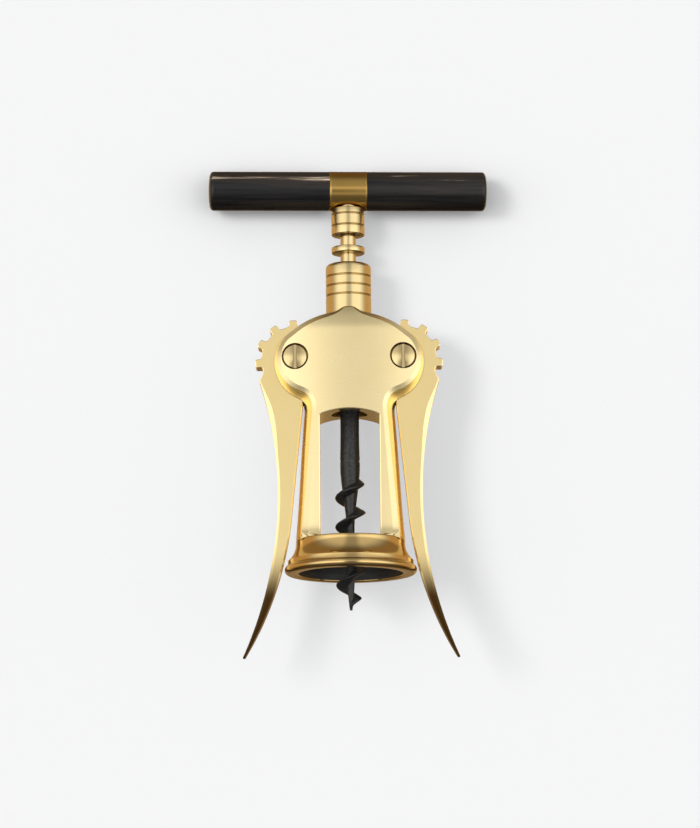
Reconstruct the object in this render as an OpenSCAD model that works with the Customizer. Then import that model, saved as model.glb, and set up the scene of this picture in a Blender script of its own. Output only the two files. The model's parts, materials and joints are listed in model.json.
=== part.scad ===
// Lever corkscrew: a cast brass frame with a bell, two geared levers, a ring rack on
// the spindle, a blackened steel worm and a T handle of dark horn.
// Everything is drawn upright: the worm's axis is Z, the bell's mouth is Z = 0, the
// front is -Y and X is across. lay() then lays the whole object on its back, with the
// bell's rim and the handle's sleeve on the plane Z = 0.

/* [Handle] */
// Length of the whole handle
handle_len = 100; // [90:1:110]
// Diameter of each horn bar
horn_d = 14; // [13:0.1:14.2]
// Diameter of the brass sleeve between the bars
sleeve_d = 14.3; // [14.3:0.1:15]
// Length of the brass sleeve
sleeve_len = 13.4; // [12.5:0.1:16]
// Height of the handle's axis above the bell's mouth
handle_z = 139; // [138:0.5:142]
// Angle that the frame is turned about the worm, against the handle
frame_roll = 2.5; // [0:0.5:5.5]

/* [Spindle] */
// Diameter of the ringed hub under the handle
hub_d = 11.9; // [11:0.1:12]
// Height of the hub's lower face
hub_z = 122.6; // [122:0.1:123]
// Diameter of the worm's shaft
shaft_d = 7; // [6:0.1:7.5]
// Diameter of the spigot that runs through the rack sleeve
spigot_d = 4; // [3.6:0.1:4.2]

/* [Worm] */
// Distance between the worm's turns
worm_lead = 10.4; // [9:0.1:11]
// Diameter over the worm's turns
worm_d = 10.8; // [9:0.1:11]
// Height where the worm takes over from the plain shaft
worm_top = 40; // [38:1:44]
// Height of the worm's point
worm_tip = -12.8; // [-16:0.1:-10]

/* [Rack and gears] */
// Height of the lever pivots
pivot_z = 76.9; // [76.5:0.1:77.5]
// Distance of each pivot from the worm's axis
pivot_x = 19.2; // [19.1:0.05:19.3]
// Pitch radius of the lever gears
gear_pitch_r = 13.5; // [13.4:0.05:13.6]
// Outer radius of the lever gears
gear_tip_r = 14.2; // [14:0.05:14.3]
// Root radius of the lever gears
gear_root_r = 11.7; // [11.4:0.05:11.9]
// Angle from tooth to tooth
tooth_step = 31; // [30:0.5:31]
// Number of teeth on each gear
tooth_count = 7; // [6:1:7]
// Thickness of a gear tooth
tooth_w = 3; // [2.6:0.1:3.2]
// Outer diameter of the rack's rings
rack_d = 11.9; // [11.6:0.1:12]
// Thickness of a rack ring
rack_ring_t = 2.2; // [2:0.1:2.4]

/* [Levers] */
// Thickness of a lever
lever_t = 6.8; // [6:0.1:7]
// Thickness of a lever at its tip
lever_tip_t = 4; // [3:0.1:5]
// Height of a lever's tip
lever_tip_z = -29.5; // [-30:0.5:-28]

/* [Frame] */
// Diameter of the ringed neck
neck_d = 16.2; // [16:0.1:17]
// Height of the neck's upper end
neck_z = 111.8; // [111:0.1:112]
// Thickness of the head, front to back
head_t = 21.2; // [20:0.2:22]
// Thickness of the legs, front to back
leg_t = 20.4; // [19:0.2:21]
// Width of the window between the legs
window_w = 21.2; // [20:0.2:22]
// Height of the window's arch at its middle
window_z = 57.8; // [57:0.1:58]
// Diameter of the bore that the rack slides in
rack_bore_d = 12.8; // [12.7:0.1:12.9]

/* [Bell] */
// Diameter of the bell's upper band
band_d = 39; // [38.6:0.1:40]
// Height of the bell
bell_h = 12; // [11.5:0.1:13]
// Diameter over the rim's bead
rim_d = 46.8; // [46:0.1:47]
// Diameter of the bell's open mouth
mouth_d = 37; // [36:0.1:37]
// Diameter of the socket that the bottle's neck enters
socket_d = 31.4; // [30.5:0.1:32]
// Diameter of the way through for the cork
cork_d = 24.8; // [24:0.1:25]

/* [Hidden] */
$fn = 96;

// Colours
gold = [0.93, 0.78, 0.46];
satin = [0.80, 0.67, 0.36];
steel = [0.55, 0.55, 0.56];
blackened = [0.13, 0.13, 0.13];
plastic = [0.06, 0.06, 0.06];
horn = [0.12, 0.10, 0.09];

// Clearances
eps = 0.01;
run = 0.05;       // radial clearance of a running shaft
seat = 0.1;       // gap of a loose seat
slot_gap = 0.5;   // each side of a lever in its slot

// Lay-down: the rim's bead and the sleeve both touch the plane
bead_r = 1.5;
bead_z = bead_r;
bead_c = rim_d/2 - bead_r;
lean = atan2(bead_c, handle_z - bead_z)
    + asin((bead_r - sleeve_d/2) / norm([bead_c, handle_z - bead_z]));
lift = handle_z*sin(lean) + sleeve_d/2;

// Lever outline: an inner line and arc, and two outer arcs that meet at waist_z
waist_z = 28.6;
waist_x = 25.6;
outer_top_r = 134.6;
outer_low_r = 140;
inner_r = 122;
inner_cx = 142.1;
inner_cz = 33.1;
inner_low = [20.9, 19.3];
inner_top = [16.6, 60.5];
heel = [14.5, pivot_z - 10.7];
shoulder = [31.9, 69.3];
gear_end = [30.6, 72];
thin_z = 0;       // below this height the lever thins toward its tip
tip_x = waist_x + outer_low_r - sqrt(pow(outer_low_r, 2) - pow(waist_z - lever_tip_z, 2));

// Ends of the laid object along Y
tip_back = tip_x*sin(frame_roll) + lever_tip_t/2*cos(frame_roll);
y_high = handle_z*cos(lean) + sleeve_d/2;
y_low = lever_tip_z*cos(lean) - tip_back*sin(lean);

// Head outline, seen from the front
dome_r = 31.4;
dome_z = 61.9;
lobe_r = 12.2;
lobe_x = 13.5;
lobe_z = 76.1;
throat_r = 6;
throat_x = 19.1;
throat_z = 58.9;
flank = 1.2;      // how much wider the head's middle is than its face
crown_r = 166;    // radius of the head's crowned face across its width

// Frame details
leg_top_r = 16.35;
leg_top_z = 56;
leg_low_r = 19.4;
arch_r = 28.6;
neck_round = 1.5;
neck_grooves = [107.1, 103.6, 100.1];
neck_base = 88;
seam_turn = 40;   // turns a round body's seam away from the planes of symmetry
bush_d = 13.8;
bush_bore_d = 12.4;
bush_low = 101;
cheek_seat = 7.3; // depth plane of the screw seats, from the middle plane
slot_half = lever_t/2 + slot_gap;

// Pivot screws
head_r = 4.25;
head_h = 2.1;
well_r = 4.75;
stem_r = 2.5;
barrel_r = 3.5;
slot_w = 1.3;
slot_deep = 0.9;

// Rack and spindle
rack_pitch = gear_pitch_r*tooth_step*PI/180;
rack_low = 64.6;
rack_high = 123.2;
rack_tube_r = 2.8;
ring_first = -2;
ring_last = 5;
washer_t = 0.5;
shaft_top = rack_low - washer_t - seat;
spigot_top = handle_z - 3.5;
rod_d = 4;
rod_len = 48;
hub_recess_r = 4.9;
hub_recess = 1.3;
hub_grooves = [130, 125.9];

// Worm
turn_steps = 20;
ring_points = 24;
left_crest_z = 16.9;      // a height at which the crest points to the left
worm_core_r = 1.5;
core_end = 30;
flight_start = 37;
flight_full = 18;
flight_half = 62;         // half of the flight's width, in degrees round the core

module lay()
    translate([0, -(y_high + y_low)/2, lift]) rotate([-(90 + lean), 0, 0]) children();

// The frame and what rides on it is turned a little about the worm
module in_frame() lay() rotate([0, 0, -frame_roll]) children();

// Stands a flat drawing up, so that its Y becomes Z, and gives it a thickness
module slab(t) rotate([90, 0, 0]) linear_extrude(t, center = true) children();

// A cylinder or cone from the middle plane to the front and to the back
module drafted(x, z, r_mid, r_face, half)
    for (side = [-1, 1]) translate([x, 0, z]) rotate([90*side, 0, 0]) cylinder(h = half, r1 = r_mid, r2 = r_face);

// A round pin along Y between two depths
module across(x, z, r, y0, y1) translate([x, y1, z]) rotate([90, 0, 0]) cylinder(h = y1 - y0, r = r);

module both_sides() for (side = [0, 1]) mirror([side, 0, 0]) children();

// ---- frame ----

// Two lobes round the pivots, the middle, and the throat that narrows to the legs
module head_outline() {
    both_sides() drafted(lobe_x, lobe_z, lobe_r + flank, lobe_r, head_t/2);
    slab(head_t) translate([-lobe_x, throat_z]) square([2*lobe_x, dome_r + dome_z + 3 - throat_z]);
    difference() {
        slab(head_t) translate([-throat_x, throat_z]) square([2*throat_x, lobe_z - lobe_r*0.8 - throat_z]);
        both_sides() drafted(throat_x, throat_z, throat_r - 2*flank, throat_r, head_t/2 + eps);
    }
}

// The crowned front or back face
module crown(side)
    translate([0, side*(crown_r - head_t/2), throat_z - 1]) cylinder(h = 50, r = crown_r, $fn = 256);

module head_casting() intersection() {
    intersection() {
        drafted(0, dome_z, dome_r + flank, dome_r, head_t/2);
        head_outline();
    }
    crown(-1);
    crown(1);
}

// Its seam is turned off the head's middle plane, where the union would be delicate
module neck_casting() rotate([0, 0, seam_turn]) rotate_extrude() difference() {
    union() {
        translate([0, neck_base]) square([neck_d/2, neck_z - neck_round - neck_base]);
        translate([0, neck_base]) square([neck_d/2 - neck_round, neck_z - neck_base]);
        translate([neck_d/2 - neck_round, neck_z - neck_round]) circle(neck_round);
    }
    for (z = neck_grooves) translate([neck_d/2 + 0.1, z]) circle(0.45, $fn = 24);
}

module legs() intersection() {
    rotate_extrude() polygon([
        [0, bell_h - 1], [leg_low_r, bell_h - 1], [leg_low_r, bell_h + 4],
        [leg_top_r, leg_top_z], [leg_top_r, throat_z + 4], [0, throat_z + 4],
    ]);
    translate([-band_d/2, -leg_t/2, 0]) cube([band_d, leg_t, leg_top_z + 10]);
}

module bell_casting() rotate_extrude() {
    square([band_d/2, bell_h]);
    square([bead_c, 2*bead_r]);
    translate([bead_c, bead_z]) circle(bead_r);
    difference() {
        translate([0, bead_r]) square([bead_c + 0.4, 6.5]);
        translate([band_d/2 + 5.3, 8.6]) circle(5.3);
    }
}

module window() {
    intersection() {
        slab(2*band_d) translate([-window_w/2, bell_h]) square([window_w, window_z - bell_h]);
        slab(2*band_d) union() {
            translate([0, window_z - arch_r]) circle(arch_r);
            translate([-window_w/2, 0]) square([window_w, window_z - arch_r]);
        }
    }
    cylinder(h = leg_top_z - 1, d = cork_d);
}

module lever_slot() slab(2*slot_half) {
    translate([pivot_x, pivot_z]) circle(gear_tip_r + 0.7);
    polygon([
        [inner_low.x - slot_gap + 1, inner_low.y + 10], [inner_top.x - slot_gap, inner_top.y],
        [heel.x - slot_gap, heel.y], [pivot_x, pivot_z], [45, pivot_z], [45, inner_low.y + 10],
    ]);
}

module pivot_holes() {
    across(pivot_x, pivot_z, well_r, -head_t, -cheek_seat);
    across(pivot_x, pivot_z, well_r, cheek_seat, head_t);
    across(pivot_x, pivot_z, stem_r + seat, -head_t, 0);
    across(pivot_x, pivot_z, barrel_r + run, 0, head_t);
}

module frame_body() color(gold) in_frame() difference() {
    union() {
        head_casting();
        neck_casting();
        legs();
        bell_casting();
    }
    rotate([0, 0, seam_turn]) {
        translate([0, 0, leg_top_z - 2]) cylinder(h = neck_z, d = rack_bore_d);
        translate([0, 0, bush_low]) cylinder(h = neck_z, d = bush_d);
    }
    both_sides() lever_slot();
    both_sides() pivot_holes();
    window();
    translate([0, 0, -1]) cylinder(h = 8, d = mouth_d);
    cylinder(h = bell_h - 2, d = mouth_d - 3);
}

module neck_bush() color(plastic) in_frame() difference() {
    translate([0, 0, bush_low]) cylinder(h = neck_z - 0.6 - bush_low, d = bush_d - 2*run);
    translate([0, 0, bush_low - 1]) cylinder(h = neck_z, d = bush_bore_d);
}

module bell_liner() color(plastic) in_frame() difference() {
    union() {
        translate([0, 0, 0.4]) cylinder(h = 6.5, d = mouth_d - 2*run);
        translate([0, 0, 6]) cylinder(h = bell_h - 2 - seat - 6, d = mouth_d - 3 - 2*run);
    }
    translate([0, 0, -1]) cylinder(h = 8, d = socket_d);
    translate([0, 0, 0.4 - eps]) cylinder(h = 1.4, d1 = mouth_d - 2, d2 = socket_d);
    cylinder(h = bell_h, d = cork_d + 0.6);
}

// ---- pivots ----

module pivot_screw() difference() {
    union() {
        across(pivot_x, pivot_z, stem_r, -cheek_seat - eps, cheek_seat - 0.5);
        intersection() {
            across(pivot_x, pivot_z, head_r, -cheek_seat - head_h, -cheek_seat);
            translate([pivot_x, -cheek_seat - head_h + 16, pivot_z]) sphere(16);
        }
    }
    translate([pivot_x - slot_w/2, -cheek_seat - head_h - 1, pivot_z - 5]) cube([slot_w, 1 + slot_deep, 10]);
}

module pivot_barrel() difference() {
    union() {
        across(pivot_x, pivot_z, barrel_r, -slot_half + seat, cheek_seat + eps);
        intersection() {
            across(pivot_x, pivot_z, head_r, cheek_seat, cheek_seat + head_h);
            translate([pivot_x, cheek_seat + head_h - 16, pivot_z]) sphere(16);
        }
    }
    across(pivot_x, pivot_z, stem_r + run, -10, cheek_seat);
    translate([pivot_x - slot_w/2, cheek_seat + head_h - slot_deep, pivot_z - 5]) cube([slot_w, 2, 10]);
}

module lever_washers() for (side = [-1, 1]) difference() {
    across(pivot_x, pivot_z, 6, side*(slot_half - slot_gap/2) - 0.15, side*(slot_half - slot_gap/2) + 0.15);
    across(pivot_x, pivot_z, barrel_r + seat, -head_t, head_t);
}

module pivot_screw_left() color(satin) in_frame() mirror([1, 0, 0]) pivot_screw();
module pivot_screw_right() color(satin) in_frame() pivot_screw();
module pivot_barrel_left() color(satin) in_frame() mirror([1, 0, 0]) pivot_barrel();
module pivot_barrel_right() color(satin) in_frame() pivot_barrel();
module lever_washers_left() color(steel) in_frame() mirror([1, 0, 0]) lever_washers();
module lever_washers_right() color(steel) in_frame() lever_washers();

// ---- levers ----

module tooth() {
    corner = 0.8;
    translate([gear_root_r - 2, -tooth_w/2]) square([gear_tip_r - corner - gear_root_r + 2, tooth_w]);
    translate([gear_root_r - 2, corner - tooth_w/2]) square([gear_tip_r - gear_root_r + 2, tooth_w - 2*corner]);
    for (side = [-1, 1]) translate([gear_tip_r - corner, side*(tooth_w/2 - corner)]) circle(corner, $fn = 32);
}

module gear_outline() translate([pivot_x, pivot_z]) {
    circle(gear_root_r);
    for (i = [0 : tooth_count - 1]) rotate(180 - i*tooth_step) tooth();
}

module blade_top() difference() {
    polygon([inner_low, inner_top, heel, [pivot_x, pivot_z], gear_end, shoulder, [33, inner_low.y]]);
    translate([waist_x + outer_top_r, waist_z]) circle(outer_top_r, $fn = 256);
}

module blade_low() difference() {
    intersection() {
        translate([inner_cx, inner_cz]) circle(inner_r, $fn = 256);
        translate([0, lever_tip_z]) square([50, inner_low.y + 1 - lever_tip_z]);
    }
    translate([waist_x + outer_low_r, waist_z]) circle(outer_low_r, $fn = 256);
}

module lever() difference() {
    intersection() {
        union() {
            slab(lever_t) gear_outline();
            slab(lever_t) blade_top();
            slab(lever_t) blade_low();
        }
        rotate([90, 0, 90]) linear_extrude(100) polygon([
            [-lever_t/2, pivot_z + 20], [-lever_t/2, thin_z], [-lever_tip_t/2, lever_tip_z],
            [lever_tip_t/2, lever_tip_z], [lever_t/2, thin_z], [lever_t/2, pivot_z + 20],
        ]);
    }
    across(pivot_x, pivot_z, barrel_r + run, -lever_t, lever_t);
}

module lever_left() color(gold) in_frame() mirror([1, 0, 0]) lever();
module lever_right() color(gold) in_frame() lever();

// ---- rack ----

module ring(z, r, t) {
    edge = 0.3;
    translate([0, z - t/2]) polygon([
        [0, 0], [r - edge, 0], [r, edge], [r, t - edge], [r - edge, t], [0, t],
    ]);
}

module rack_sleeve() color(satin) in_frame() difference() {
    rotate_extrude() {
        translate([0, rack_low]) square([rack_tube_r, rack_high - rack_low]);
        for (i = [ring_first : ring_last]) ring(pivot_z + (i + 0.5)*rack_pitch, rack_d/2, rack_ring_t);
    }
    translate([0, 0, rack_low - 1]) cylinder(h = rack_high, d = spigot_d + 2*run);
}

// ---- spindle and handle ----

module thrust_washer(z, r) translate([0, 0, z]) difference() {
    cylinder(h = washer_t, r = r);
    translate([0, 0, -1]) cylinder(h = 3, d = spigot_d + 2*run);
}

module thrust_washer_upper() color(steel) lay() thrust_washer(hub_z + hub_recess - washer_t, hub_recess_r - seat);
module thrust_washer_lower() color(steel) lay() thrust_washer(shaft_top, shaft_d/2);

module spindle_shaft() color(blackened) lay() {
    translate([0, 0, worm_top]) cylinder(h = shaft_top - worm_top, d = shaft_d);
    translate([0, 0, worm_top + 1]) cylinder(h = spigot_top - worm_top - 1, d = spigot_d);
}

// How far along from a to b a value is, from 0 to 1 with soft ends
function part(a, b, v) = let (t = min(1, max(0, (v - a)/(b - a)))) t*t*(3 - 2*t);
function core_r(z) = (worm_core_r + (shaft_d/2 - worm_core_r)*part(core_end, flight_start + 1, z))
    * (0.15 + 0.85*sqrt(part(worm_tip - 2, worm_tip + 14, z)));
function flight(z) = (worm_d/2 - worm_core_r) * (1 - 0.3*part(flight_full, core_end, z))
    * (1 - part(core_end, flight_start, z)) * part(worm_tip, worm_tip + 9, z);
function crest(a) = pow(max(0, 1 - abs(a)/flight_half), 0.85);

module worm() color(blackened) lay() {
    steps = ceil((worm_top - worm_tip)/worm_lead*turn_steps);
    dz = (worm_top - worm_tip)/steps;
    points = [for (i = [0 : steps], j = [0 : ring_points - 1]) let (
        z = worm_tip + i*dz,
        a = (j/ring_points - 0.5)*360,
        r = max(0.12, core_r(z) + flight(z)*crest(a)),
        turn = 180 + 360*(z - left_crest_z)/worm_lead + a
    ) [r*cos(turn), r*sin(turn), z]];
    sides = [for (i = [0 : steps - 1], j = [0 : ring_points - 1]) let (
        a = i*ring_points + j,
        b = i*ring_points + (j + 1) % ring_points
    ) each [[a, b + ring_points, b], [a, a + ring_points, b + ring_points]]];
    lower = [for (j = [0 : ring_points - 1]) j];
    upper = [for (j = [ring_points - 1 : -1 : 0]) steps*ring_points + j];
    polyhedron(points, concat(sides, [lower, upper]));
}

module hub() color(satin) lay() difference() {
    rotate_extrude() difference() {
        translate([0, hub_z]) square([hub_d/2, handle_z - hub_z]);
        translate([hub_recess_r + 0.6, hub_z - 0.6]) circle(0.6, $fn = 24);
        for (z = hub_grooves) translate([hub_d/2 + 0.1, z]) circle(0.5, $fn = 24);
    }
    translate([0, 0, hub_z - 1]) cylinder(h = hub_recess + 1, r = hub_recess_r);
    translate([0, 0, hub_z]) cylinder(h = handle_z, d = spigot_d + 2*run);
    translate([-handle_len/2, 0, handle_z]) rotate([0, 90, 0]) cylinder(h = handle_len, d = sleeve_d);
}

module handle_sleeve() color(satin) lay() difference() {
    translate([-sleeve_len/2, 0, handle_z]) rotate([0, 90, 0]) cylinder(h = sleeve_len, d = sleeve_d);
    translate([-sleeve_len, 0, handle_z]) rotate([0, 90, 0]) cylinder(h = 2*sleeve_len, d = rod_d + 2*run);
    cylinder(h = spigot_top + 0.3, d = spigot_d + 2*run);
}

module handle_tie_rod() color(steel) lay()
    translate([-rod_len/2, 0, handle_z]) rotate([0, 90, 0]) cylinder(h = rod_len, d = rod_d);

module horn_bar() {
    bar = (handle_len - sleeve_len)/2;
    round_r = 1.6;
    dome = 34;
    translate([sleeve_len/2, 0, handle_z]) rotate([0, 90, 0]) difference() {
        rotate_extrude() intersection() {
            union() {
                square([horn_d/2, bar - round_r]);
                square([horn_d/2 - round_r, bar]);
                translate([horn_d/2 - round_r, bar - round_r]) circle(round_r, $fn = 48);
            }
            translate([0, bar - dome]) circle(dome, $fn = 256);
        }
        translate([0, 0, -1]) cylinder(h = (rod_len - sleeve_len)/2 + 1.5, d = rod_d + 2*run);
    }
}

module horn_left() color(horn) lay() mirror([1, 0, 0]) horn_bar();
module horn_right() color(horn) lay() horn_bar();

frame_body();
neck_bush();
bell_liner();
pivot_screw_left();
pivot_screw_right();
pivot_barrel_left();
pivot_barrel_right();
lever_washers_left();
lever_washers_right();
lever_left();
lever_right();
rack_sleeve();
thrust_washer_upper();
thrust_washer_lower();
spindle_shaft();
worm();
hub();
handle_sleeve();
handle_tie_rod();
horn_left();
horn_right();
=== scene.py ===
import json
import math

import bmesh
import bpy
import numpy as np
from mathutils import Matrix, Vector
from mathutils.geometry import delaunay_2d_cdt


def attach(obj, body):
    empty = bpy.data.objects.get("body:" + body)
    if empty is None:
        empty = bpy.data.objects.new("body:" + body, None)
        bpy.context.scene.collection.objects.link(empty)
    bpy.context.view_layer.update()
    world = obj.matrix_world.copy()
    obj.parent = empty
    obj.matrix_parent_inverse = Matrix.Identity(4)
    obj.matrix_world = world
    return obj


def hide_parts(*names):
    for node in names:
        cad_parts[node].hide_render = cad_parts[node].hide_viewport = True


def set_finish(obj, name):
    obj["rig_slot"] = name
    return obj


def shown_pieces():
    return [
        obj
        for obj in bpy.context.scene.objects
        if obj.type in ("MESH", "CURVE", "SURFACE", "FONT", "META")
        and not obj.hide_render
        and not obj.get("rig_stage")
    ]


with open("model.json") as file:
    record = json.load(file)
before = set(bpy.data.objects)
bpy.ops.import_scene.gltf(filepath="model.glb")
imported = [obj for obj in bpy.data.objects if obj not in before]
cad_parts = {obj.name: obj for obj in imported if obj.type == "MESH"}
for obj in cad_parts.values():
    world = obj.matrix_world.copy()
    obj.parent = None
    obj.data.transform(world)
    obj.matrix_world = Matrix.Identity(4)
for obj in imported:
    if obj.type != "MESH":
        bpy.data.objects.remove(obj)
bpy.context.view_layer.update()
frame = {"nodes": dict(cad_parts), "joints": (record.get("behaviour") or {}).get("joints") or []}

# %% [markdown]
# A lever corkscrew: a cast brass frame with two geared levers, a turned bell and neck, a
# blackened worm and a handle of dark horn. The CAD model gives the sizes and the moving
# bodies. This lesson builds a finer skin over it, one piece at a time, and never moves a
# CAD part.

MM = 0.001

# %% [markdown]
# The corkscrew lies on its back, so none of its own directions is a plain X, Y or Z. The
# joints know them: the rack slides along the worm, and the levers swing about pins that
# run front to back. From these come two frames to build in, both upright, with the bell's
# mouth at height 0: one for the cast frame and one for the spindle, which is turned a
# little about the worm. A third frame runs along the handle, for what was turned there.

# %% Three frames to build in
PIVOT_X, PIVOT_Z, HANDLE_Z = 19.2, 76.9, 139.0
joints = {j["name"]: j for j in frame["joints"]}
up = Vector(joints["rack_slide"]["axis"]).normalized()
back = Vector(joints["left_lever_swing"]["axis"]).normalized()
pins = [Vector(joints[n]["pos_m"]) for n in ("left_lever_swing", "right_lever_swing")]
origin = (pins[0] + pins[1]) / 2 - up * PIVOT_Z * MM
along = Vector((1, 0, 0))


def frame_of(x, y, z, at):
    """The matrix that carries a piece's own axes x, y and z and its origin to their place."""
    return Matrix([[x[i], y[i], z[i], at[i]] for i in range(3)] + [[0, 0, 0, 1]])


UPRIGHT = frame_of(back.cross(up), back, up, origin)
SPINDLE = frame_of(along, up.cross(along), up, origin)
BAR = frame_of(up, along.cross(up), along, origin + up * HANDLE_Z * MM)
print("the worm points along", [round(v, 4) for v in up], "and the frame is rolled",
      round(math.degrees(math.acos(back.cross(up).dot(along))), 2), "degrees")

# %% [markdown]
# Every piece ends the same way: its points in millimetres become a mesh, its shallow edges
# are shaded smooth and its real edges stay sharp, it takes a finish, and it rides on the
# body that carries it. Where it stands for CAD nodes, those are hidden.

# %% The last steps of every piece
WELD = 0.002 * MM


def solid(name, points, faces):
    """An object from points in mm. Points that meet are welded, and the faces look outward."""
    mesh = bpy.data.meshes.new(name)
    mesh.from_pydata([tuple(float(v) * MM for v in p) for p in points], [], faces)
    work = bmesh.new()
    work.from_mesh(mesh)
    bmesh.ops.remove_doubles(work, verts=work.verts, dist=WELD)
    bmesh.ops.recalc_face_normals(work, faces=work.faces)
    work.to_mesh(mesh)
    work.free()
    made = bpy.data.objects.new(name, mesh)
    bpy.context.scene.collection.objects.link(made)
    return made


def piece(name, points, faces, where, body, finish, slot, instead=(), sharp=34, cutters=()):
    """Makes a piece, cuts it, and gives it its frame, its finish and its body."""
    made = solid(name, points, faces)
    for cutter in cutters:
        cut = made.modifiers.new("cut", "BOOLEAN")
        cut.operation, cut.solver, cut.object = "DIFFERENCE", "EXACT", cutter
    if cutters:
        shaped = made.evaluated_get(bpy.context.evaluated_depsgraph_get())
        made.data = bpy.data.meshes.new_from_object(shaped)
        made.data.name = name
        made.modifiers.clear()
        for cutter in cutters:
            bpy.data.objects.remove(cutter)
    made.data.transform(where)
    made.data.materials.clear()
    made.data.materials.append(finish)
    made.data.shade_smooth()
    made.data.set_sharp_from_angle(angle=math.radians(sharp))
    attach(made, body)
    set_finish(made, slot)
    if instead:
        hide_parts(*instead)
    print(name, "has", len(made.data.vertices), "points")
    return made


print("points closer than", round(WELD / MM, 4), "mm are welded")

# %% [markdown]
# Much of a corkscrew is turned on a lathe, so it is one profile swept round an axis. The
# profile is a list of radius and height. Corners that a turner would break with a file
# are small arcs in it.

# %% Turning a profile round its axis
def arc(centre, radius, start, end, count=8):
    """Points on an arc, from one angle to another, in degrees."""
    turn = np.radians(np.linspace(start, end, count + 1))
    return [(centre[0] + radius * math.cos(a), centre[1] + radius * math.sin(a)) for a in turn]


def turned(profile, closed=False, steps=128):
    """Sweeps a profile of (radius, height), listed from low outside to high, round Z."""
    points, rows, faces = [], [], []
    for r, z in profile:
        angles = [0.0] if r < 1e-6 else np.arange(steps) / steps * 2 * math.pi
        rows.append([len(points) + i for i in range(len(angles))])
        points += [(r * math.cos(a), r * math.sin(a), z) for a in angles]
    for low, high in zip(rows, rows[1:] + ([rows[0]] if closed else [])):
        for i in range(steps):
            j = (i + 1) % steps
            corners = [low[i % len(low)], low[j % len(low)], high[j % len(high)], high[i % len(high)]]
            faces.append(list(dict.fromkeys(corners)))
    return points, faces


print("a plain test ring has", len(turned([(1, 0), (2, 0), (2, 1)], closed=True)[1]), "faces")

# %% [markdown]
# A cutter is a solid that a boolean takes away from a casting, as a drill or a milling
# cutter does. One that runs front to back is an outline on the X and Z axes with a depth,
# and one that runs along the worm is a turned bar.

# %% Cutters
def slab(outline, y0, y1):
    """A cutter from an outline of (x, z), from one depth to another."""
    n = len(outline)
    points = [(x, y, z) for y in (y0, y1) for x, z in outline]
    sides = [(i, (i + 1) % n, (i + 1) % n + n, i + n) for i in range(n)]
    return solid("cutter", points, [list(range(n)), list(range(n, 2 * n))] + sides)


def drill(x, z, radius, y0, y1):
    """A round cutter that runs front to back."""
    return slab(arc((x, z), radius, 0, 360, 72)[:-1], y0, y1)


def upright_bore(radius, low, high):
    """A round cutter about the worm's axis."""
    return solid("cutter", *turned([(0, low), (radius, low), (radius, high), (0, high)], steps=96))


print("a drill's outline has", len(arc((0, 0), 1, 0, 360, 72)[:-1]), "points")

# %% [markdown]
# Colours are easiest to read as sRGB hex, while Blender's shaders add up light and need
# linear numbers. One function turns the one into the other. A second small function adds a
# node: its settings go on the node, and each input is either a value or the socket that
# feeds it.

# %% Colours and nodes
def colour(text):
    """An sRGB hex colour as linear red, green, blue and alpha."""
    parts = [int(text[i:i + 2], 16) / 255 for i in (1, 3, 5)]
    return tuple(v / 12.92 if v <= 0.04045 else ((v + 0.055) / 1.055) ** 2.4 for v in parts) + (1.0,)


def add(tree, kind, inputs=(), **settings):
    """Adds a node with its settings, and its inputs as values or as sockets to link."""
    node = tree.nodes.new(kind)
    for name, value in settings.items():
        setattr(node, name, value)
    for name, value in dict(inputs).items():
        if isinstance(value, bpy.types.NodeSocket):
            tree.links.new(value, node.inputs[name])
        else:
            node.inputs[name].default_value = value
    return node


def new_material(name):
    """An empty material and its node tree."""
    material = bpy.data.materials.new(name)
    material.use_nodes = True
    material.node_tree.nodes.clear()
    return material, material.node_tree


def place_in(tree, where):
    """The place on a piece, measured in metres in one of the frames it was built in."""
    there = where.inverted()
    spot = add(tree, "ShaderNodeTexCoord").outputs["Object"]
    return add(tree, "ShaderNodeMapping", {
        "Vector": spot, "Location": there.translation, "Rotation": there.to_euler()}).outputs["Vector"]


print("pale brass in linear numbers:", [round(v, 3) for v in colour("#F2D79B")])

# %% [markdown]
# Lacquered brass is a metal, so its colour is the colour of its reflections. Polishing
# leaves a haze that is never quite even, and a satin wheel leaves fine parallel scratches.
# One recipe makes each brass finish: a noise that is stretched along the scratches drives
# both the roughness and a very small bump, and a broad noise lets the tone drift a little,
# as lacquer does. Within about a millimetre of another surface, in corners and grooves, the
# colour is turned brown as painted shade, and a finish can also be painted brown toward one
# end, as a painted dark reflection. The scratches are about 0.05 mm apart on the real part.
# They are drawn 0.25 mm apart here, because finer ones would not show.

# %% Brass in its finishes
SCRATCH, HAZE, CORNER = 0.25 * MM, 11.1 * MM, 1.0 * MM


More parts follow.
